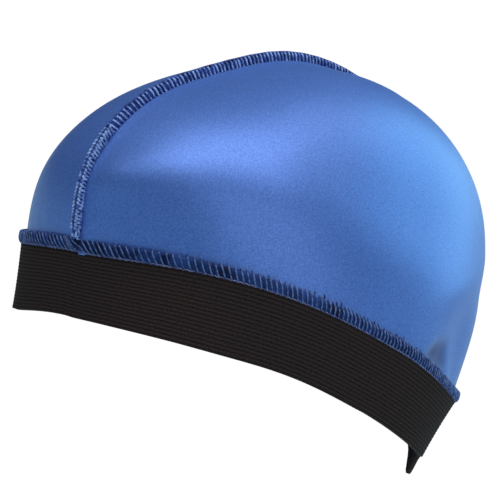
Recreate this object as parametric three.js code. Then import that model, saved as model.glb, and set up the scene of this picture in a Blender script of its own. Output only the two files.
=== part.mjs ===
// Wave cap: a stretch cap of two satin panels on a wide elastic band, in the form it takes on a head.
// Millimetres, +Z up. The wearer faces -Y and the wearer's left side is +X.
// The origin is the centre of the rim, the line where the crown is sewn to the band.
import * as THREE from 'three';
import { mergeVertices } from 'three/addons/utils/BufferGeometryUtils.js';

// Head opening at the rim
const rimHalfWidth = 85.5;
const rimFront = 85.6;
const rimBack = 96.7;
const browSquareness = 2.36;    // 2 is an ellipse, more is boxier
const napeSquareness = 2.02;
const rimTilt = 27.5;           // degrees that the front stands higher than the back

// Waves of the rim, as it lies over the brow, the ears and the nape
const rimWave = 3.7;            // rise over the ears, and dip at the brow
const napeLift = 9.6;
const napeLiftSpan = 34;        // degrees of turn
const rimTwist = 5.3;           // the cap sits a little askew

// Crown
const crownHeight = 108;
const crownSetBack = 21.2;      // how far the top lies behind the middle of the rim
const satinThickness = 1.2;
const valleyHalfWidth = 16;     // of the valley that the centre seam pulls into the satin

// Centre seam, a raised overlocked edge
const seamHeight = 4.8;
const seamHeightBack = 3.4;
const seamFallStart = 60;       // degrees of rise from which its edge gets lower towards the back
const seamStandUp = 0.2;        // degrees of rise over which its edge stands up above the band seam
const seamThickness = 1.7;

// Overlocked seam between the crown and the band
const bandSeamHeight = 4.8;
const bandSeamThickness = 2.2;

// Elastic band
const bandWidth = 25.4;
const bandThickness = 1.8;
const bandTaper = 9;            // degrees that the band leans in towards its lower edge

const clearance = 0.3;          // gap between pieces that touch
const mergeDistance = 1e-4;     // points closer than this become one

// Mesh fineness
const turnSteps = 32;           // from the front to the back on one side
const riseSteps = 20;           // from the rim to the top
const bandRows = 3;
const roundSteps = 4;

// Colours
const satinBlue = 0x2f5db0;
const elasticBlack = 0x16161a;
const threadNavy = 0x2b3f74;

// Crown sections from the rim, rise 0 degrees, to the top, rise 90 degrees.
// Side, front and back are shares of the rim's own half width, front and back length.
// The two valleys are shares of the crown's height, on the front and the back half of the seam.
const crownSections = [
  { rise: 0, side: 1.0, front: 1.0, back: 1.0, frontValley: 0, backValley: 0 },
  { rise: 15, side: 0.995, front: 1.155, back: 1.035, frontValley: 0, backValley: 0.002 },
  { rise: 30, side: 0.955, front: 1.22, back: 1.075, frontValley: 0, backValley: 0.006 },
  { rise: 45, side: 0.955, front: 1.205, back: 1.115, frontValley: 0, backValley: 0.012 },
  { rise: 60, side: 0.97, front: 1.14, back: 1.115, frontValley: 0.001, backValley: 0.02 },
  { rise: 75, side: 0.98, front: 1.14, back: 1.1, frontValley: 0.022, backValley: 0.034 },
  { rise: 90, side: 0.99, front: 1.13, back: 1.085, frontValley: 0.045, backValley: 0.045 },
];

// Dents of the satin. Turn and rise place the middle, and one span away a third of the dent is left.
// Depths are shares of the crown's height.
const satinDents = [
  { name: 'tuck', side: 1, turn: 119, rise: 8, turnSpan: 14, riseSpan: 7, depth: 0.03 },
];

const radians = THREE.MathUtils.degToRad;

const sectionTable = new THREE.CubicInterpolant(
  crownSections.map((row) => row.rise),
  crownSections.flatMap((row) => [row.side, row.front, row.back, row.frontValley, row.backValley]),
  5,
);
sectionTable.settings = { endingStart: THREE.ZeroCurvatureEnding, endingEnd: THREE.ZeroSlopeEnding };

// Half of the slot that the centre seam fills between the two panels
const slotHalf = seamThickness / 2 + clearance;

// Height of the rim line above the rim plane
function rimLift(side, turn) {
  const wave = -rimWave * Math.cos(2 * radians(turn));
  const nape = napeLift * Math.exp(-(((180 - turn) / napeLiftSpan) ** 2));
  const twist = side * rimTwist * Math.sin(2 * radians(turn));
  return wave + nape + twist;
}

// Depth of the satin's dents at one place
function dentDepth(side, turn, rise) {
  let depth = 0;
  for (const dent of satinDents) {
    if (dent.side !== side) continue;
    const across = (turn - dent.turn) / dent.turnSpan;
    const up = (rise - dent.rise) / dent.riseSpan;
    depth += dent.depth * crownHeight * Math.exp(-across * across - up * up);
  }
  return depth;
}

// Point of an upright section: turn 0 is the front, 90 the side and 180 the back.
function sectionPoint(side, turn, halfWidth, front, back, height) {
  const squareness = turn < 90 ? browSquareness : napeSquareness;
  const across = Math.abs(Math.sin(radians(turn))) ** (2 / squareness);
  const along = Math.abs(Math.cos(radians(turn))) ** (2 / squareness);
  const y = turn < 90 ? -front * along : back * along;
  return new THREE.Vector3(side * (slotHalf + (halfWidth - slotHalf) * across), y, height);
}

// Point of the crown. Grow moves it outwards from the satin's outer face.
function crownPoint(side, turn, rise, grow) {
  const [sideShare, frontShare, backShare, frontValley, backValley] = sectionTable.evaluate(rise);
  const level = Math.cos(radians(rise));
  const up = Math.sin(radians(rise));
  const fromSeam = rimHalfWidth * level * Math.sin(radians(turn));
  const valley = (turn < 90 ? frontValley : backValley) * Math.exp(-((fromSeam / valleyHalfWidth) ** 2));
  const out = grow - dentDepth(side, turn, rise) - valley * crownHeight;
  const halfWidth = slotHalf + (rimHalfWidth * sideShare - slotHalf + out) * level;
  const front = (rimFront * frontShare + out) * level;
  const back = (rimBack * backShare + out) * level;
  const height = (crownHeight + out) * up + rimLift(side, turn) * (1 - up) ** 2;
  const point = sectionPoint(side, turn, halfWidth, front, back, height);
  point.y += crownSetBack * up * up;
  return point;
}

// Point of the band, a distance down its slope from the rim
function bandPoint(side, turn, drop, grow) {
  const inset = drop * Math.sin(radians(bandTaper)) - grow;
  const height = rimLift(side, turn) - drop * Math.cos(radians(bandTaper));
  return sectionPoint(side, turn, rimHalfWidth - inset, rimFront - inset, rimBack - inset, height);
}

// Rise of the crown at a height above the rim
function riseAt(height) {
  return THREE.MathUtils.radToDeg(Math.asin(height / crownHeight));
}

// Evenly spaced numbers from one value to another
function spread(from, to, steps) {
  return Array.from({ length: steps + 1 }, (_, step) => from + ((to - from) * step) / steps);
}

// Places round the whole head, side and turn, from the front past the left side and back to the front
function placesRound() {
  const turns = spread(0, 180, turnSteps);
  const left = turns.map((turn) => ({ side: 1, turn }));
  const right = turns.map((turn) => ({ side: -1, turn })).reverse();
  return [...left, ...right];
}

// Closed body through a row of section loops. Each loop runs up one half and down the other,
// so that an end is closed by joining its two halves. A wrapped row joins its last loop to its first.
function loft(loops, wrapped) {
  const size = loops[0].length;
  const positions = loops.flat().flatMap((point) => [point.x, point.y, point.z]);
  const faces = [];
  const spans = wrapped ? loops.length : loops.length - 1;
  for (let i = 0; i < spans; i += 1) {
    const here = i * size;
    const next = ((i + 1) % loops.length) * size;
    for (let k = 0; k < size; k += 1) {
      const above = (k + 1) % size;
      faces.push([here + k, next + k, next + above], [here + k, next + above, here + above]);
    }
  }
  if (!wrapped) {
    const last = (loops.length - 1) * size;
    for (let k = 0; k < size / 2 - 1; k += 1) {
      const across = size - 1 - k;
      faces.push([k, k + 1, across - 1], [k, across - 1, across]);
      faces.push([last + k, last + across - 1, last + k + 1], [last + k, last + across, last + across - 1]);
    }
  }
  return closedGeometry(positions, faces);
}

// Merges shared points, drops faces that shrank to a line and turns all faces outwards
function closedGeometry(positions, faces) {
  const raw = new THREE.BufferGeometry();
  raw.setAttribute('position', new THREE.Float32BufferAttribute(positions, 3));
  raw.setIndex(faces.flat());
  const merged = mergeVertices(raw, mergeDistance);
  const old = merged.getIndex().array;
  let kept = [];
  for (let i = 0; i < old.length; i += 3) {
    const [a, b, c] = old.subarray(i, i + 3);
    if (a !== b && b !== c && c !== a) kept.push([a, b, c]);
  }
  if (signedVolume(merged, kept) < 0) kept = kept.map(([a, b, c]) => [a, c, b]);
  merged.setIndex(kept.flat());
  merged.computeVertexNormals();
  return merged;
}

// Six times the volume inside the faces, negative where they point in
function signedVolume(geometry, faces) {
  const position = geometry.getAttribute('position');
  const [a, b, c] = [new THREE.Vector3(), new THREE.Vector3(), new THREE.Vector3()];
  let sum = 0;
  for (const face of faces) {
    a.fromBufferAttribute(position, face[0]);
    b.fromBufferAttribute(position, face[1]);
    c.fromBufferAttribute(position, face[2]);
    sum += a.dot(b.cross(c));
  }
  return sum;
}

function fabric(color, roughness) {
  return new THREE.MeshStandardMaterial({ color, roughness, metalness: 0 });
}

function piece(name, geometry, material) {
  const mesh = new THREE.Mesh(geometry, material);
  mesh.name = name;
  return mesh;
}

// One half of the crown: a satin wall from the rim to the top, flat along the centre seam
function crownPanel(side) {
  const rises = spread(0, 90, riseSteps);
  const loops = spread(0, 180, turnSteps).map((turn) => {
    const outer = rises.map((rise) => crownPoint(side, turn, rise, 0));
    const inner = rises.map((rise) => crownPoint(side, turn, rise, -satinThickness));
    return [...outer, ...inner.reverse()];
  });
  return loft(loops, false);
}

// The centre seam: its foot fills the slot between the panels and its edge stands up outside.
// Under the band seam it stays level with the satin.
function centreSeam() {
  const coverTop = riseAt(bandSeamHeight + clearance);
  const climb = [0, coverTop, ...spread(coverTop + seamStandUp, 90, riseSteps)];
  const stations = [
    ...climb.map((rise) => ({ turn: 0, rise })),
    ...climb.slice(0, -1).reverse().map((rise) => ({ turn: 180, rise })),
  ];
  const half = seamThickness / 2;
  const loops = stations.map(({ turn, rise }) => {
    const covered = rise <= coverTop;
    const top = covered ? 0 : seamTop(turn, rise);
    const shoulder = covered ? 0 : top - half;
    const round = spread(0, 180, roundSteps).map((angle) => {
      const grow = shoulder + (top - shoulder) * Math.sin(radians(angle));
      return seamPoint(turn, rise, -half * Math.cos(radians(angle)), grow);
    });
    const foot = -satinThickness;
    return [seamPoint(turn, rise, -half, foot), ...round, seamPoint(turn, rise, half, foot)];
  });
  return loft(loops, false);
}

// Height of the centre seam's edge, which lies lower from the top to the nape
function seamTop(turn, rise) {
  const past = turn < 90 ? THREE.MathUtils.smoothstep(rise, seamFallStart, 90) : 1;
  return THREE.MathUtils.lerp(seamHeight, seamHeightBack, past);
}

// Point of the crown's middle line, moved across by x
function seamPoint(turn, rise, x, grow) {
  const point = crownPoint(1, turn, rise, grow);
  point.x = x;
  return point;
}

// The overlocked seam round the rim, a low ridge on the crown's lower edge
function bandSeam() {
  const outline = [
    { height: 0, out: 0 },
    { height: 0.08, out: 0.75 },
    { height: 0.45, out: 1 },
    { height: 0.85, out: 0.85 },
    { height: 1, out: 0.35 },
    { height: 1, out: 0 },
  ];
  const loops = placesRound().map(({ side, turn }) => outline.map(({ height, out }) => {
    const rise = riseAt(height * bandSeamHeight);
    return crownPoint(side, turn, rise, clearance + out * bandSeamThickness);
  }));
  return loft(loops, true);
}

// The elastic band, hanging from the rim
function elasticBand() {
  const drops = spread(clearance, bandWidth, bandRows);
  const loops = placesRound().map(({ side, turn }) => {
    const outer = drops.map((drop) => bandPoint(side, turn, drop, 0));
    const inner = drops.map((drop) => bandPoint(side, turn, drop, -bandThickness));
    return [...outer, ...inner.reverse()];
  });
  return loft(loops, true);
}

const satin = fabric(satinBlue, 0.38);
const elastic = fabric(elasticBlack, 0.85);
const thread = fabric(threadNavy, 0.7);

const cap = new THREE.Group();
cap.rotation.x = -radians(rimTilt);
cap.add(
  piece('crown_left', crownPanel(1), satin),
  piece('crown_right', crownPanel(-1), satin),
  piece('crown_seam', centreSeam(), thread),
  piece('band_seam', bandSeam(), thread),
  piece('band', elasticBand(), elastic),
);

export default cap;
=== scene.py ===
import math
import random

import bmesh
import bpy
from mathutils import Matrix, Vector, noise
from mathutils.bvhtree import BVHTree


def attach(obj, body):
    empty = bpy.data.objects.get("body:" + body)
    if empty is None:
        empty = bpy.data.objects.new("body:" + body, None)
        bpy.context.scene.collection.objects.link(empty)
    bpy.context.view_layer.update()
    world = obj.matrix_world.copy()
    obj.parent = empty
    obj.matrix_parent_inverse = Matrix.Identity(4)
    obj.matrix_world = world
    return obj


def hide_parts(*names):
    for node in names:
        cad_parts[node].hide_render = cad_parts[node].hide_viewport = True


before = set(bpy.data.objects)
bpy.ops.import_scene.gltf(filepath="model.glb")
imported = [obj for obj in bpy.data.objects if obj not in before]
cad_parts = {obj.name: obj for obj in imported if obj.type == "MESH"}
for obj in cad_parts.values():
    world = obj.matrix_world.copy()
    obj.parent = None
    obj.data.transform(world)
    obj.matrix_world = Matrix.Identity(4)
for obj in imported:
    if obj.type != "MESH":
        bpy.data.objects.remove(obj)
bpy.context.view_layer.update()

# Camera
# It looks at the front left of the cap from a little above its rim.
camera_turn = math.radians(50.2)
camera_height = math.radians(16.1)
camera_distance = 0.742
focal_pixels = 1859
frame_pixels = 500
sensor_width = 36
origin_across = 243.0
origin_down = 311.4

camera_back = Vector((
    math.sin(camera_turn) * math.cos(camera_height),
    -math.cos(camera_turn) * math.cos(camera_height),
    math.sin(camera_height),
))
camera_right = Vector((math.cos(camera_turn), math.sin(camera_turn), 0))
camera_up = camera_back.cross(camera_right)
aim = -camera_back
aim += camera_right * (frame_pixels / 2 - origin_across) / focal_pixels
aim += camera_up * (origin_down - frame_pixels / 2) / focal_pixels

camera_data = bpy.data.cameras.new("camera")
camera_data.sensor_width = sensor_width
camera_data.lens = sensor_width * focal_pixels / frame_pixels
camera = bpy.data.objects.new("camera", camera_data)
camera.location = camera_back * camera_distance
camera.rotation_euler = aim.to_track_quat("-Z", "Y").to_euler()
bpy.context.scene.collection.objects.link(camera)
bpy.context.scene.camera = camera

# Studio
# A white floor that glows far below the cap, a dim white room and large soft lamps. The camera
# sees the floor and the room pure white.
floor_depth = 1.5
floor_reach = 60
floor_paint = (0.5, 0.5, 0.5, 1)
white = (1, 1, 1, 1)
floor_glow = (0.52, 0.72, 0.76, 1)
room_glow = (0.05, 0.05, 0.05, 1)


def new_object(name, mesh):
    made = bpy.data.objects.new(name, mesh)
    bpy.context.scene.collection.objects.link(made)
    return made


def new_material(name):
    material = bpy.data.materials.new(name)
    material.use_nodes = True
    nodes = material.node_tree.nodes
    return material, nodes, material.node_tree.links, nodes["Principled BSDF"]


def white_to_camera(tree, lit):
    seen = tree.nodes.new("ShaderNodeLightPath")
    either = tree.nodes.new("ShaderNodeMix")
    either.data_type = "RGBA"
    either.inputs["A"].default_value = lit
    either.inputs["B"].default_value = white
    tree.links.new(seen.outputs["Is Camera Ray"], either.inputs["Factor"])
    return either.outputs["Result"]


paper, nodes, links, paint = new_material("paper_white")
paint.inputs["Base Color"].default_value = floor_paint
paint.inputs["Roughness"].default_value = 0.9
paint.inputs["Specular IOR Level"].default_value = 0.1
paint.inputs["Emission Strength"].default_value = 1
links.new(white_to_camera(paper.node_tree, floor_glow), paint.inputs["Emission Color"])

floor_mesh = bpy.data.meshes.new("floor")
floor_mesh.from_pydata(
    [
        (-floor_reach, -floor_reach, -floor_depth),
        (floor_reach, -floor_reach, -floor_depth),
        (floor_reach, floor_reach, -floor_depth),
        (-floor_reach, floor_reach, -floor_depth),
    ],
    [],
    [(0, 1, 2, 3)],
)
floor_mesh.materials.append(paper)
floor = new_object("floor", floor_mesh)

world = bpy.data.worlds.new("studio")
world.use_nodes = True
sky = world.node_tree.nodes["Background"]
sky.inputs["Strength"].default_value = 1
world.node_tree.links.new(white_to_camera(world.node_tree, room_glow), sky.inputs["Color"])
bpy.context.scene.world = world
bpy.context.scene.view_settings.view_transform = "Standard"

lamp_distance = 1.2
lamps = [
    {
        "name": "overhead", "turn": 47, "height": 86, "wide": 1.5, "deep": 0.45,
        "power": 13.8, "tint": (1, 0.96, 0.92),
    },
    {
        "name": "left_high", "turn": 325, "height": 45, "wide": 0.3, "deep": 0.3,
        "power": 0.8, "tint": (1, 0.98, 0.95),
    },
    {
        "name": "behind", "turn": 168, "height": 50, "wide": 0.7, "deep": 0.7,
        "power": 2.4, "tint": (1, 0.97, 0.94),
    },
    {
        "name": "low_behind", "turn": 174, "height": 15, "wide": 0.9, "deep": 0.9,
        "power": 7.2, "tint": (0.5, 0.95, 1),
    },
    {
        "name": "front", "turn": 70, "height": 20, "wide": 1.6, "deep": 1.2,
        "power": 7.5, "tint": (1, 0.96, 0.93),
    },
]

for lamp in lamps:
    turn = math.radians(lamp["turn"])
    height = math.radians(lamp["height"])
    way = Vector((
        math.sin(turn) * math.cos(height), -math.cos(turn) * math.cos(height), math.sin(height),
    ))
    light_data = bpy.data.lights.new(lamp["name"], "AREA")
    light_data.shape = "RECTANGLE"
    light_data.size = lamp["wide"]
    light_data.size_y = lamp["deep"]
    light_data.energy = lamp["power"]
    light_data.color = lamp["tint"]
    light = new_object(lamp["name"], light_data)
    light.location = way * lamp_distance
    across = (camera_right - way * camera_right.dot(way)).normalized()
    light.rotation_euler = Matrix((across, way.cross(across), way)).transposed().to_euler()

# Rim
# The line where the crown is sewn to the band. It waves at the brow, the sides and the nape.
# A turn goes in degrees from the brow, past the left side and round to the brow again.
rim_half_width = 0.0855
rim_front = 0.0856
rim_back = 0.0967
brow_squareness = 2.36
nape_squareness = 2.02
rim_tilt = math.radians(27.5)
rim_wave = 0.0037
nape_lift = 0.0096
nape_lift_span = 34
rim_twist = 0.0053
slot_half = 0.00115
rim_steps = 4

tilt = Matrix.Rotation(-rim_tilt, 3, "X")


def rim_lift(turn):
    side = 1 if turn <= 180 else -1
    half_turn = turn if turn <= 180 else 360 - turn
    wave = -rim_wave * math.cos(2 * math.radians(half_turn))
    nape = nape_lift * math.exp(-((180 - half_turn) / nape_lift_span) ** 2)
    return wave + nape + side * rim_twist * math.sin(2 * math.radians(half_turn))


def rim_place(turn, out, up):
    side = 1 if turn <= 180 else -1
    half_turn = turn if turn <= 180 else 360 - turn
    squareness = brow_squareness if half_turn < 90 else nape_squareness
    across = abs(math.sin(math.radians(half_turn))) ** (2 / squareness)
    along = abs(math.cos(math.radians(half_turn))) ** (2 / squareness)
    x = side * (slot_half + (rim_half_width + out - slot_half) * across)
    y = -(rim_front + out) * along if half_turn < 90 else (rim_back + out) * along
    return tilt @ Vector((x, y, rim_lift(turn) + up))


def rim_turns(pitch):
    fine = [rim_place(step / rim_steps, 0, 0) for step in range(360 * rim_steps + 1)]
    lengths = [0]
    for before, after in zip(fine, fine[1:]):
        lengths.append(lengths[-1] + (after - before).length)
    count = round(lengths[-1] / pitch)
    turns = []
    step = 0
    for number in range(count):
        wanted = lengths[-1] * number / count
        while lengths[step + 1] < wanted:
            step += 1
        part = (wanted - lengths[step]) / (lengths[step + 1] - lengths[step])
        turns.append((step + part) / rim_steps)
    return turns, lengths[-1]


# Sag
# Where the worn cap lies a little lower or closer than its plain form, and is drawn in low on its
# left side. Every piece follows it, so nothing comes apart.
sags = [
    {
        "name": "crest", "middle": (0, -0.014, 0.098), "reach": 0.024,
        "way": (0, 0, -1), "depth": 0.0015,
    },
    {
        "name": "back", "middle": (0.033, 0.072, 0.073), "reach": 0.045,
        "way": (-0.3, -0.66, -0.69), "depth": 0.0013,
    },
    {
        "name": "far", "middle": (-0.047, -0.018, 0.085), "reach": 0.030,
        "way": (0.5, 0.23, -0.82), "depth": 0.0009,
    },
]
side_way = camera_right
side_start = 0.06
side_end = 0.088
side_top = 0.018
side_full = 0.002
side_pull = 0.0016


def eased(value, start, end):
    share = min(1, max(0, (value - start) / (end - start)))
    return share * share * (3 - 2 * share)


def settled(point):
    pulled = eased(point.dot(side_way), side_start, side_end) * eased(-point.z, -side_top, -side_full)
    moved = point - side_way * side_pull * pulled
    for sag in sags:
        away = (point - Vector(sag["middle"])).length / sag["reach"]
        moved += Vector(sag["way"]) * sag["depth"] * math.exp(-away ** 2)
    return moved


# Crown panels
# Two panels of royal blue stretch satin, sewn together along the middle of the cap. The satin is
# drawn tight and puckers a little where it is sewn to the band. A shallow fold runs over its
# front left, and a soft dimple lies above the band near the nape. The satin in the dimple is
# painted darker, a painted shade in the hollow.
satin_base = (0.044, 0.110, 0.39, 1)
satin_light = (0.084, 0.195, 0.60, 1)
# Painted shade: the darker satin colour laid into the dimple.
satin_painted_shade = (0.010, 0.031, 0.19, 1)
patch_share = 0.22
weld_distance = 0.00001
quad_bend = math.radians(40)
quad_skew = math.radians(60)
crease_angle = math.radians(50)
panel_levels = 3
satin_dents = [
    {
        "name": "dimple", "place": (0.0794, 0.0281, -0.009), "way": (-0.3, 0.95, 0),
        "before": 0.0135, "after": 0.0150, "above": 0.0090, "below": 0.022,
        "depth": 0.0022, "sharpness": 5, "shade": 1,
    },
    {
        "name": "tuck", "place": (0.072, 0.054, -0.006), "way": (-0.6, 0.8, 0),
        "before": 0.014, "after": 0.014, "above": 0.014, "below": 0.014,
        "depth": 0.0012, "sharpness": 2, "shade": 0,
    },
]
dent_start = 0.010
cut_gap = 0.0004
fold_height = 0.0683
fold_middle = 0.034
fold_bow = 4.5
fold_rise = 0.0022
fold_above = 0.010
fold_below = 0.007
fold_fade = 0.050
fold_front_reach = 0.03
fold_seam_hold = 0.6
fold_seam_reach = 0.008
seam_climb = {"crown_left": 0.0018, "crown_right": 0.0014}
seam_climb_reach = 0.014
pucker_depth = 0.00045
pucker_reach = 0.011
pucker_width = 0.0075
pucker_tall = 0.03
pucker_seed = 3
crown_middle = Vector((0, 0.012, 0.018))

satin, nodes, links, cloth = new_material("satin")
place = nodes.new("ShaderNodeTexCoord")
patches = nodes.new("ShaderNodeTexNoise")
patches.inputs["Scale"].default_value = 16
patches.inputs["Detail"].default_value = 3
grain = nodes.new("ShaderNodeTexNoise")
grain.inputs["Scale"].default_value = 1600
grain.inputs["Detail"].default_value = 2
links.new(place.outputs["Object"], patches.inputs["Vector"])
links.new(place.outputs["Object"], grain.inputs["Vector"])
grain_and_patches = nodes.new("ShaderNodeMath")
grain_and_patches.operation = "MULTIPLY_ADD"
grain_and_patches.inputs[1].default_value = patch_share
links.new(patches.outputs["Fac"], grain_and_patches.inputs[0])
links.new(grain.outputs["Fac"], grain_and_patches.inputs[2])
tones = nodes.new("ShaderNodeValToRGB")
tones.color_ramp.elements[0].position = 0.38
tones.color_ramp.elements[0].color = satin_base
tones.color_ramp.elements[1].position = 0.84
tones.color_ramp.elements[1].color = satin_light
links.new(grain_and_patches.outputs["Value"], tones.inputs["Fac"])
# Painted shade: the satin colour is mixed toward a darker blue where the dimple lies.
hollow_shade_read = nodes.new("ShaderNodeAttribute")
hollow_shade_read.attribute_name = "painted_hollow_shade"
shaded = nodes.new("ShaderNodeMix")
shaded.data_type = "RGBA"
shaded.inputs["B"].default_value = satin_painted_shade
links.new(hollow_shade_read.outputs["Fac"], shaded.inputs["Factor"])
links.new(tones.outputs["Color"], shaded.inputs["A"])
links.new(shaded.outputs["Result"], cloth.inputs["Base Color"])
bumps = nodes.new("ShaderNodeBump")
bumps.inputs["Strength"].default_value = 0.15
bumps.inputs["Distance"].default_value = 0.0001
links.new(grain.outputs["Fac"], bumps.inputs["Height"])
links.new(bumps.outputs["Normal"], cloth.inputs["Normal"])
cloth.inputs["Roughness"].default_value = 0.42
cloth.inputs["Metallic"].default_value = 0.35
cloth.inputs["Specular IOR Level"].default_value = 0.4
cloth.inputs["Specular Tint"].default_value = (0.82, 0.93, 1, 1)


def welded_copy(node, name):
    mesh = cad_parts[node].data.copy()
    mesh.name = name
    mesh.materials.clear()
    shape = bmesh.new()
    shape.from_mesh(mesh)
    bmesh.ops.remove_doubles(shape, verts=shape.verts, dist=weld_distance)
    bmesh.ops.join_triangles(
        shape, faces=shape.faces, angle_face_threshold=quad_bend, angle_shape_threshold=quad_skew,
    )
    crease = shape.edges.layers.float.new("crease_edge")
    for edge in shape.edges:
        if len(edge.link_faces) == 2 and edge.calc_face_angle() > crease_angle:
            edge[crease] = 1
    for face in shape.faces:
        face.smooth = True
    shape.to_mesh(mesh)
    shape.free()
    return new_object(name, mesh)


def subdivided(soft, levels):
    finer = soft.modifiers.new("finer", "SUBSURF")
    finer.levels = levels
    finer.render_levels = levels
    plain = bpy.data.meshes.new_from_object(soft.evaluated_get(bpy.context.evaluated_depsgraph_get()))
    soft.modifiers.clear()
    soft.data = plain
    return soft


for node in ("crown_left", "crown_right"):
    panel = subdivided(welded_copy(node, node + "_satin"), panel_levels)
    painted_hollow_shade = []
    for corner in panel.data.vertices:
        home = tilt.transposed() @ corner.co
        outward = (home - crown_middle).normalized()
        flat_outward = Vector((outward.x, outward.y, 0)).normalized()
        from_seam = abs(home.x) - slot_half
        turn = math.atan2(home.x, -home.y)
        above_rim = max(0, home.z - rim_lift(math.degrees(turn) % 360))
        round_rim = turn * rim_half_width / pucker_width
        pucker = noise.noise(Vector((round_rim, home.z / pucker_tall, pucker_seed)))
        push = outward * seam_climb[node] * math.exp(-from_seam / seam_climb_reach)
        push += flat_outward * pucker_depth * pucker * math.exp(-above_rim / pucker_reach)
        deepest_shade = 0
        for dent in satin_dents:
            away = corner.co - Vector(dent["place"])
            across = away.dot(Vector(dent["way"]))
            across /= dent["after"] if across > 0 else dent["before"]
            up = away.z / (dent["above"] if away.z > 0 else dent["below"])
            faded = math.hypot(across, up) ** dent["sharpness"]
            push -= flat_outward * dent["depth"] * math.exp(-faded) * eased(above_rim, 0, dent_start)
            # The painted shade follows the dimple's own shape, for the dents that carry shade.
            deepest_shade = max(deepest_shade, math.exp(-faded) * dent["shade"])
        painted_hollow_shade.append(deepest_shade)
        if corner.co.x > 0 and corner.co.y < 0:
            above = corner.co.z - fold_height + fold_bow * (corner.co.x - fold_middle) ** 2
            above /= fold_above if above > 0 else fold_below
            rise = fold_rise * math.exp(-above ** 2 - (corner.co.x / fold_fade) ** 2)
            rise *= 1 - fold_seam_hold * math.exp(-(corner.co.x / fold_seam_reach) ** 2)
            push += flat_outward * rise * eased(-corner.co.y, 0, fold_front_reach)
        corner.co = settled(corner.co + tilt @ push)
        if from_seam < cut_gap:
            corner.co.x = math.copysign(slot_half - cut_gap, corner.co.x)
    hollow_shade_values = panel.data.attributes.new("painted_hollow_shade", "FLOAT", "POINT")
    hollow_shade_values.data.foreach_set("value", painted_hollow_shade)
    panel.data.materials.append(satin)
    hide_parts(node)
    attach(panel, "root")

# Elastic band
# A black knitted elastic an inch wide, with fine ribs that run along it and no visible join.
# Its upper edge is sewn into the seam. Its lower edge waves and turns down to a point at the nape.
band_width = 0.0254
band_lap = 0.0002
band_thickness = 0.0018
band_taper = math.radians(9)
band_ribs = 18
band_flare = 0.0016
flare_power = 1.5
tail_turn = 149.5
tail_span = 4.2
tail_drop = 0.010
tail_power = 3
edge_waves = [
    {"name": "brow", "turn": 358, "span": 22, "rise": 0.0023},
    {"name": "temple", "turn": 47, "span": 17, "rise": -0.0010},
    {"name": "far_nape", "turn": 218, "span": 22, "rise": 0.0030},
]
rib_relief = 0.00005
rows_per_rib = 6
band_pitch = 0.0021
# Painted shade and highlight: the ribs are painted lighter on their ridges and darker in their
# grooves, in step with their relief. The same share sets the rib bump.
rib_shade_and_bump = 0.20
knot_length = 0.0009
knots_per_rib = 2.5
elastic_dark = (0.0085, 0.0062, 0.0065, 1)
elastic_light = (0.040, 0.030, 0.031, 1)

elastic, nodes, links, knit = new_material("elastic")
knit_map = nodes.new("ShaderNodeUVMap")
knit_map.uv_map = "knit"
parts = nodes.new("ShaderNodeSeparateXYZ")
links.new(knit_map.outputs["UV"], parts.inputs["Vector"])
# Painted shade along the ribs: lighter on each ridge, darker in each groove.
rib_angle = nodes.new("ShaderNodeMath")
rib_angle.operation = "MULTIPLY"
rib_angle.inputs[1].default_value = 2 * math.pi * band_ribs
links.new(parts.outputs["Y"], rib_angle.inputs[0])
rib_wave = nodes.new("ShaderNodeMath")
rib_wave.operation = "COSINE"
links.new(rib_angle.outputs["Value"], rib_wave.inputs[0])
knots = nodes.new("ShaderNodeTexNoise")
knots.inputs["Scale"].default_value = 1.0
knots.inputs["Detail"].default_value = 2
stretch = nodes.new("ShaderNodeMapping")
stretch.inputs["Scale"].default_value = (1 / knot_length, band_ribs * knots_per_rib, 1)
links.new(knit_map.outputs["UV"], stretch.inputs["Vector"])
links.new(stretch.outputs["Vector"], knots.inputs["Vector"])
rib_and_knots = nodes.new("ShaderNodeMath")
rib_and_knots.operation = "MULTIPLY_ADD"
rib_and_knots.inputs[1].default_value = rib_shade_and_bump
links.new(rib_wave.outputs["Value"], rib_and_knots.inputs[0])
links.new(knots.outputs["Fac"], rib_and_knots.inputs[2])
shades = nodes.new("ShaderNodeValToRGB")
shades.color_ramp.elements[0].position = 0.15
shades.color_ramp.elements[0].color = elastic_dark
shades.color_ramp.elements[1].position = 0.95
shades.color_ramp.elements[1].color = elastic_light
links.new(rib_and_knots.outputs["Value"], shades.inputs["Fac"])
links.new(shades.outputs["Color"], knit.inputs["Base Color"])
knit_bump = nodes.new("ShaderNodeBump")
knit_bump.inputs["Strength"].default_value = 0.35
knit_bump.inputs["Distance"].default_value = 0.0002
links.new(rib_and_knots.outputs["Value"], knit_bump.inputs["Height"])
links.new(knit_bump.outputs["Normal"], knit.inputs["Normal"])
knit.inputs["Roughness"].default_value = 0.8
knit.inputs["Specular IOR Level"].default_value = 0.03

rows = band_ribs * rows_per_rib
turns, rim_length = rim_turns(band_pitch)
profile = [(row / rows, 0, int(0 < row < rows)) for row in range(rows + 1)]
profile += [(share, -band_thickness, ribbed) for share, depth, ribbed in reversed(profile)]
ring = len(profile)
corners = []
drops = []
reliefs = []
for turn in turns:
    for share, depth, ribbed in profile:
        drop = (band_width + band_lap) * share - band_lap
        flare = band_flare * (1 - share) ** flare_power
        tail = tail_drop * math.exp(-((turn - tail_turn) / tail_span) ** 2) * share ** tail_power
        for wave in edge_waves:
            from_wave = (turn - wave["turn"] + 180) % 360 - 180
            tail -= wave["rise"] * math.exp(-(from_wave / wave["span"]) ** 2) * share
        out = depth + flare - drop * math.sin(band_taper)
        corners.append(settled(rim_place(turn, out, -drop * math.cos(band_taper) - tail)))
        drops.append(share)
        reliefs.append(ribbed)
quads = []
for station in range(len(turns)):
    here = station * ring
    there = (station + 1) % len(turns) * ring
    for step in range(ring):
        after = (step + 1) % ring
        quads.append((here + step, there + step, there + after, here + after))
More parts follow.
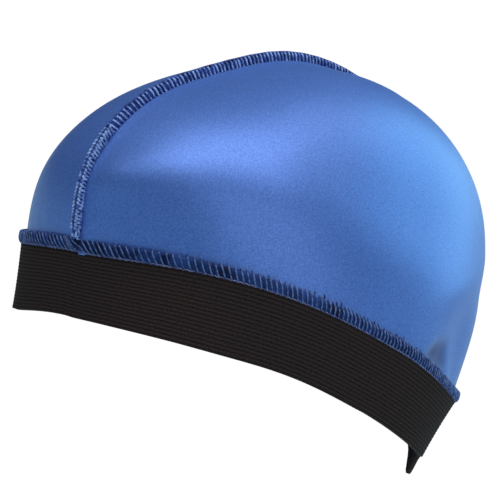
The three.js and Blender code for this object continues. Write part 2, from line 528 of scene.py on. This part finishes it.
band_mesh = bpy.data.meshes.new("band_elastic")
band_mesh.from_pydata(corners, [], quads)
knit_uv = band_mesh.uv_layers.new(name="knit")
for face in band_mesh.polygons:
    station, step = divmod(face.index, ring)
    for loop, (ahead, up) in zip(face.loop_indices, ((0, 0), (1, 0), (1, 1), (0, 1))):
        share = profile[(step + up) % ring][0]
        knit_uv.data[loop].uv = ((station + ahead) * rim_length / len(turns), share)
drop_values = band_mesh.attributes.new("drop", "FLOAT", "POINT")
drop_values.data.foreach_set("value", drops)
relief_values = band_mesh.attributes.new("relief", "FLOAT", "POINT")
relief_values.data.foreach_set("value", reliefs)
band_mesh.shade_smooth()
band = new_object("band_elastic", band_mesh)

rib_tree = bpy.data.node_groups.new("lengthwise_ribs", "GeometryNodeTree")
rib_sockets = {}
for label, kind in (
    ("Band", "NodeSocketGeometry"), ("Ribs", "NodeSocketFloat"),
    ("Relief", "NodeSocketFloat"), ("Finish", "NodeSocketMaterial"),
):
    socket = rib_tree.interface.new_socket(label, in_out="INPUT", socket_type=kind)
    rib_sockets[label] = socket.identifier
rib_tree.interface.new_socket("Ribbed band", in_out="OUTPUT", socket_type="NodeSocketGeometry")
given = rib_tree.nodes.new("NodeGroupInput")
result = rib_tree.nodes.new("NodeGroupOutput")
drop_read = rib_tree.nodes.new("GeometryNodeInputNamedAttribute")
drop_read.inputs["Name"].default_value = "drop"
relief_read = rib_tree.nodes.new("GeometryNodeInputNamedAttribute")
relief_read.inputs["Name"].default_value = "relief"
ribs_down = rib_tree.nodes.new("ShaderNodeMath")
ribs_down.operation = "MULTIPLY"
full_turns = rib_tree.nodes.new("ShaderNodeMath")
full_turns.operation = "MULTIPLY"
full_turns.inputs[1].default_value = 2 * math.pi
ridge_wave = rib_tree.nodes.new("ShaderNodeMath")
ridge_wave.operation = "COSINE"
ridge_rise = rib_tree.nodes.new("ShaderNodeMath")
ridge_rise.operation = "MULTIPLY"
ridge_here = rib_tree.nodes.new("ShaderNodeMath")
ridge_here.operation = "MULTIPLY"
facing = rib_tree.nodes.new("GeometryNodeInputNormal")
lift = rib_tree.nodes.new("ShaderNodeVectorMath")
lift.operation = "SCALE"
moved = rib_tree.nodes.new("GeometryNodeSetPosition")
realized = rib_tree.nodes.new("GeometryNodeRealizeInstances")
finished = rib_tree.nodes.new("GeometryNodeSetMaterial")
wire = rib_tree.links.new
wire(drop_read.outputs["Attribute"], ribs_down.inputs[0])
wire(given.outputs["Ribs"], ribs_down.inputs[1])
wire(ribs_down.outputs["Value"], full_turns.inputs[0])
wire(full_turns.outputs["Value"], ridge_wave.inputs[0])
wire(ridge_wave.outputs["Value"], ridge_rise.inputs[0])
wire(given.outputs["Relief"], ridge_rise.inputs[1])
wire(ridge_rise.outputs["Value"], ridge_here.inputs[0])
wire(relief_read.outputs["Attribute"], ridge_here.inputs[1])
wire(facing.outputs["Normal"], lift.inputs[0])
wire(ridge_here.outputs["Value"], lift.inputs["Scale"])
wire(given.outputs["Band"], moved.inputs["Geometry"])
wire(lift.outputs["Vector"], moved.inputs["Offset"])
wire(moved.outputs["Geometry"], realized.inputs["Geometry"])
wire(realized.outputs["Geometry"], finished.inputs["Geometry"])
wire(given.outputs["Finish"], finished.inputs["Material"])
wire(finished.outputs["Geometry"], result.inputs[0])


def made_by(tree, start, settings):
    maker = start.modifiers.new(tree.name, "NODES")
    maker.node_group = tree
    for socket, value in settings.items():
        maker[socket] = value
    whole = bpy.data.meshes.new_from_object(start.evaluated_get(bpy.context.evaluated_depsgraph_get()))
    start.modifiers.clear()
    start.data = whole
    return start


made_by(rib_tree, band, {
    rib_sockets["Ribs"]: float(band_ribs),
    rib_sockets["Relief"]: rib_relief,
    rib_sockets["Finish"]: elastic,
})
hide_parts("band")
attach(band, "root")

# Seam cores
# The folded edges of the satin inside the two overlocked seams, painted much darker than the
# satin as a painted shade between the threads that wrap over them.
core_levels = 2
# Painted shade: each core's tones are far darker than the satin it is folded from, standing in for the
# shade between the threads.
core_shade_tones = {
    "band_seam": ((0.003, 0.008, 0.04, 1), (0.014, 0.045, 0.19, 1)),
    "crown_seam": ((0.010, 0.022, 0.11, 1), (0.04, 0.09, 0.36, 1)),
}

for node, (dark, light) in core_shade_tones.items():
    fold, nodes, links, hem = new_material(node + "_fold")
    place = nodes.new("ShaderNodeTexCoord")
    core_mottle = nodes.new("ShaderNodeTexNoise")
    core_mottle.inputs["Scale"].default_value = 160
    core_mottle.inputs["Detail"].default_value = 4
    links.new(place.outputs["Object"], core_mottle.inputs["Vector"])
    core_shade_ramp = nodes.new("ShaderNodeValToRGB")
    core_shade_ramp.color_ramp.elements[0].position = 0.35
    core_shade_ramp.color_ramp.elements[0].color = dark
    core_shade_ramp.color_ramp.elements[1].position = 0.7
    core_shade_ramp.color_ramp.elements[1].color = light
    links.new(core_mottle.outputs["Fac"], core_shade_ramp.inputs["Fac"])
    links.new(core_shade_ramp.outputs["Color"], hem.inputs["Base Color"])
    hem_bump = nodes.new("ShaderNodeBump")
    hem_bump.inputs["Strength"].default_value = 0.5
    hem_bump.inputs["Distance"].default_value = 0.0003
    links.new(core_mottle.outputs["Fac"], hem_bump.inputs["Height"])
    links.new(hem_bump.outputs["Normal"], hem.inputs["Normal"])
    hem.inputs["Roughness"].default_value = 0.6
    hem.inputs["Specular IOR Level"].default_value = 0.1
    core = subdivided(welded_copy(node, node + "_core"), core_levels)
    for corner in core.data.vertices:
        corner.co = settled(corner.co)
    core.data.materials.append(fold)
    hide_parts(node)
    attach(core, "root")

# Overlock threads round the rim
# Polyester sewing threads that wrap over the seam, wide apart and leaning at the front, close
# together at the sides, with their upper ends caught in the satin. A looper thread runs below.
front_pitch = 0.00265
side_pitch = 0.00182
front_stretch = 42
front_blend = 5
nape_turn = 180
rim_radius = 0.088
wrap_radius = 0.00029
wrap_clear = 0.9
wrap_end_clear = -0.6
wrap_heights = (0.0003, 0.0010, 0.0021, 0.0032, 0.0042, 0.0048, 0.0053)
wrap_lean_front = 0.0050
wrap_lean_side = 0.0006
wrap_jitter = 0.0003
lean_stretch = 62
lean_blend = 10
stray_lengths = (0, 0, 0, 0.0002, 0.0007)
stray_jitter = 0.0002
stray_start = 0.6
chain_radius = 0.00019
chain_height = 0.0004
chain_wave = 0.00012
chain_parts = 4
chain_clear = 0.8
cast_reach = 0.03
thread_sides = 5
thread_smoothness = 2
wrap_fuzz = 700
chain_fuzz = 300
wrap_colour_dark = (0.02, 0.045, 0.16, 1)
wrap_colour_light = (0.10, 0.17, 0.40, 1)
chain_colour_dark = (0.05, 0.06, 0.17, 1)
chain_colour_light = (0.20, 0.22, 0.44, 1)


def thread_material(name, dark, light, fuzziness):
    material, nodes, links, yarn = new_material(name)
    place = nodes.new("ShaderNodeTexCoord")
    fuzz = nodes.new("ShaderNodeTexNoise")
    fuzz.inputs["Scale"].default_value = fuzziness
    fuzz.inputs["Detail"].default_value = 3
    links.new(place.outputs["Object"], fuzz.inputs["Vector"])
    tones = nodes.new("ShaderNodeValToRGB")
    tones.color_ramp.elements[0].position = 0.36
    tones.color_ramp.elements[0].color = dark
    tones.color_ramp.elements[1].position = 0.64
    tones.color_ramp.elements[1].color = light
    links.new(fuzz.outputs["Fac"], tones.inputs["Fac"])
    links.new(tones.outputs["Color"], yarn.inputs["Base Color"])
    fuzz_bump = nodes.new("ShaderNodeBump")
    fuzz_bump.inputs["Strength"].default_value = 0.4
    fuzz_bump.inputs["Distance"].default_value = 0.0001
    links.new(fuzz.outputs["Fac"], fuzz_bump.inputs["Height"])
    links.new(fuzz_bump.outputs["Normal"], yarn.inputs["Normal"])
    yarn.inputs["Roughness"].default_value = 0.6
    yarn.inputs["Specular IOR Level"].default_value = 0.12
    return material


thread_tree = bpy.data.node_groups.new("threads_from_lines", "GeometryNodeTree")
thread_sockets = {}
for label, kind in (
    ("Lines", "NodeSocketGeometry"), ("Radius", "NodeSocketFloat"), ("Sides", "NodeSocketInt"),
    ("Smoothness", "NodeSocketInt"), ("Finish", "NodeSocketMaterial"),
):
    socket = thread_tree.interface.new_socket(label, in_out="INPUT", socket_type=kind)
    thread_sockets[label] = socket.identifier
thread_tree.interface.new_socket("Threads", in_out="OUTPUT", socket_type="NodeSocketGeometry")
given = thread_tree.nodes.new("NodeGroupInput")
result = thread_tree.nodes.new("NodeGroupOutput")
lines = thread_tree.nodes.new("GeometryNodeMeshToCurve")
smooth_lines = thread_tree.nodes.new("GeometryNodeCurveSplineType")
smooth_lines.spline_type = "CATMULL_ROM"
finer_lines = thread_tree.nodes.new("GeometryNodeSetSplineResolution")
strand = thread_tree.nodes.new("GeometryNodeCurvePrimitiveCircle")
tubes = thread_tree.nodes.new("GeometryNodeCurveToMesh")
tubes.inputs["Fill Caps"].default_value = True
soft_tubes = thread_tree.nodes.new("GeometryNodeSetShadeSmooth")
realized = thread_tree.nodes.new("GeometryNodeRealizeInstances")
finished = thread_tree.nodes.new("GeometryNodeSetMaterial")
wire = thread_tree.links.new
wire(given.outputs["Lines"], lines.inputs["Mesh"])
wire(lines.outputs["Curve"], smooth_lines.inputs["Curve"])
wire(smooth_lines.outputs["Curve"], finer_lines.inputs["Geometry"])
wire(given.outputs["Smoothness"], finer_lines.inputs["Resolution"])
wire(given.outputs["Radius"], strand.inputs["Radius"])
wire(given.outputs["Sides"], strand.inputs["Resolution"])
wire(finer_lines.outputs["Geometry"], tubes.inputs["Curve"])
wire(strand.outputs["Curve"], tubes.inputs["Profile Curve"])
wire(tubes.outputs["Mesh"], soft_tubes.inputs["Geometry"])
wire(soft_tubes.outputs["Geometry"], realized.inputs["Geometry"])
wire(realized.outputs["Geometry"], finished.inputs["Geometry"])
wire(given.outputs["Finish"], finished.inputs["Material"])
wire(finished.outputs["Geometry"], result.inputs[0])


def sewn(name, runs, closed, radius, finish):
    points = []
    steps = []
    for run in runs:
        first = len(points)
        points.extend(run)
        steps.extend((first + number, first + number + 1) for number in range(len(run) - 1))
        if closed:
            steps.append((first + len(run) - 1, first))
    lines_mesh = bpy.data.meshes.new(name)
    lines_mesh.from_pydata(points, steps, [])
    threads = made_by(thread_tree, new_object(name, lines_mesh), {
        thread_sockets["Radius"]: radius,
        thread_sockets["Sides"]: thread_sides,
        thread_sockets["Smoothness"]: thread_smoothness,
        thread_sockets["Finish"]: finish,
    })
    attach(threads, "root")
    return threads


def surface_of(*names):
    corners = []
    faces = []
    for name in names:
        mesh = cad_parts[name].data
        first = len(corners)
        corners.extend(corner.co.copy() for corner in mesh.vertices)
        faces.extend([first + number for number in face.vertices] for face in mesh.polygons)
    return BVHTree.FromPolygons(corners, faces)


rim_surface = surface_of("band_seam", "crown_left", "crown_right", "crown_seam")
chance = random.Random(7)


def on_rim(turn, shift, up, clear):
    turn += math.degrees(shift / rim_radius)
    inner = rim_place(turn % 360, -cast_reach, up)
    outer = rim_place(turn % 360, cast_reach, up)
    way = (inner - outer).normalized()
    hit = rim_surface.ray_cast(outer, way)[0]
    return settled(hit - way * clear)


stitch_turns = []
turn = nape_turn
while turn < nape_turn + 360:
    stitch_turns.append(turn % 360)
    front_share = 1 / (1 + math.exp((abs(turn - 360) - front_stretch) / front_blend))
    pitch = side_pitch + (front_pitch - side_pitch) * front_share
    turn += pitch / (rim_place((turn + 1) % 360, 0, 0) - rim_place(turn % 360, 0, 0)).length

wraps = []
for turn in stitch_turns:
    front_share = 1 / (1 + math.exp((min(turn, 360 - turn) - lean_stretch) / lean_blend))
    lean = -wrap_lean_side - (wrap_lean_front - wrap_lean_side) * front_share
    lean += chance.uniform(-wrap_jitter, wrap_jitter)
    stray = chance.choice(stray_lengths) + chance.uniform(-stray_jitter, stray_jitter)
    run = []
    for number, up in enumerate(wrap_heights):
        share = number / (len(wrap_heights) - 1)
        tip = stray * max(0, share - stray_start) / (1 - stray_start)
        clear = wrap_radius * (wrap_clear if share < 1 else wrap_end_clear)
        run.append(on_rim(turn, lean * share, up + tip, clear))
    wraps.append(run)
wrap_thread = thread_material("wrap_thread", wrap_colour_dark, wrap_colour_light, wrap_fuzz)
sewn("band_seam_wraps", wraps, False, wrap_radius, wrap_thread)

chain = []
for turn, following in zip(stitch_turns, stitch_turns[1:] + stitch_turns[:1]):
    for part in range(chain_parts):
        wave = chain_wave * math.sin(2 * math.pi * part / chain_parts)
        here = turn + (following - turn) % 360 * part / chain_parts
        chain.append(on_rim(here, 0, chain_height + wave, chain_radius * chain_clear))
chain_thread = thread_material("chain_thread", chain_colour_dark, chain_colour_light, chain_fuzz)
sewn("band_seam_chain", [chain], True, chain_radius, chain_thread)

# Overlock threads of the centre seam
# The same stitch along the middle of the cap. Over the brow two threads braid down each face of
# the raised edge. Further back wraps cross the edge and two fine dark threads plait along it.
fin_foot = 0.0016
fin_half = 0.00085
fin_centre = tilt @ Vector((0, 0.010, 0.020))
fin_cast = 0.2
fin_first = -50
fin_sweep = 280
fin_samples = 1400
fin_least = 0.0018
brow_length = 0.046
brow_pitch = 0.0027
top_pitch = 0.0019
fin_wrap_radius = 0.00038
fin_wrap_clear = 0.6
fin_wrap_half = [
    {"aside": 1.9, "rise": 0, "slant": 1},
    {"aside": 1.25, "rise": 0.25, "slant": 0.8},
    {"aside": 1.1, "rise": 0.6, "slant": 0.45},
    {"aside": 0.95, "rise": 0.86, "slant": 0.2},
]
fin_slant = 0.0011
slant_jitter = 0.0002
braid_radius = 0.00044
braid_middle = 0.66
braid_swing = 0.33
braid_clear = 0.7
braid_roll = 0.5
braid_parts = 6
top_plait_radius = 0.00028
top_plait_swing = 0.0005
plait_shift = 0.4
plait_clear = 0.9
plait_roll = 0.5
plait_parts = 4
fin_fuzz = 500
fin_dark = (0.04, 0.09, 0.34, 1)
fin_light = (0.28, 0.44, 0.82, 1)
edge_dark = (0.008, 0.018, 0.10, 1)
edge_light = (0.05, 0.11, 0.40, 1)

fin_surface = surface_of("crown_seam")
satin_surface = surface_of("crown_left", "crown_right")


def from_outside(tree, angle, x):
    way = Vector((0, -math.cos(angle), math.sin(angle)))
    outer = fin_centre + way * fin_cast
    outer.x = x
    return tree.ray_cast(outer, -way)[0]


spots = []
passed = 0
wanted = 0
before = None
for step in range(fin_samples):
    angle = math.radians(fin_first + fin_sweep * step / fin_samples)
    edge = from_outside(fin_surface, angle, 0)
    foot = from_outside(satin_surface, angle, fin_foot)
    if not edge or not foot or (edge - foot).length < fin_least:
        continue
    passed += (edge - before).length if before else 0
    before = edge
    if passed >= wanted:
        foot.x = 0
        spots.append((edge, foot, passed < brow_length))
        wanted += brow_pitch if passed < brow_length else top_pitch

wrap_path = [(step["aside"], step["rise"], step["slant"]) for step in fin_wrap_half]
wrap_path += [(0, 1, 0)] + [(-aside, rise, -slant) for aside, rise, slant in reversed(wrap_path)]
fin_wraps = []
braids = [[], [], [], []]
top_plaits = [[], []]
for before, (edge, foot, over_brow), after in zip(spots, spots[1:], spots[2:]):
    along = (after[0] - before[0]).normalized()
    step_length = (after[0] - before[0]).length / 2
    out = along.cross(Vector((1, 0, 0))).normalized()
    if out.dot(edge - fin_centre) < 0:
        out = -out
    tall = (edge - foot).dot(out)
    if over_brow:
        for part in range(braid_parts):
            for number, braid in enumerate(braids):
                phase = 2 * math.pi * part / braid_parts + math.pi * (number % 2)
                point = foot + along * step_length * part / braid_parts
                point += out * tall * (braid_middle + braid_swing * math.sin(phase))
                lift = braid_radius * (braid_clear + braid_roll * math.cos(phase))
                point.x = (fin_half + lift) * (1 if number < 2 else -1)
                braid.append(settled(point))
        continue
    lean = fin_slant + chance.uniform(-slant_jitter, slant_jitter)
    clear = fin_wrap_radius * fin_wrap_clear
    run = []
    for aside, rise, slant in wrap_path:
        point = foot + out * (tall + clear) * rise + along * lean * slant
        point.x = aside * fin_half + (math.copysign(clear, aside) if aside else 0)
        run.append(settled(point))
    fin_wraps.append(run)
    for part in range(plait_parts):
        for number, plait in enumerate(top_plaits):
            phase = 2 * math.pi * part / plait_parts + math.pi * number
            point = edge + along * step_length * part / plait_parts
            point += out * top_plait_radius * (plait_clear + plait_roll * math.cos(2 * phase))
            point.x = top_plait_swing * math.sin(phase + plait_shift)
            plait.append(settled(point))
fin_thread = thread_material("fin_thread", fin_dark, fin_light, fin_fuzz)
edge_thread = thread_material("edge_thread", edge_dark, edge_light, fin_fuzz)
sewn("crown_seam_wraps", fin_wraps, False, fin_wrap_radius, fin_thread)
sewn("crown_seam_braid", braids, False, braid_radius, fin_thread)
sewn("crown_seam_plait", top_plaits, False, top_plait_radius, edge_thread)
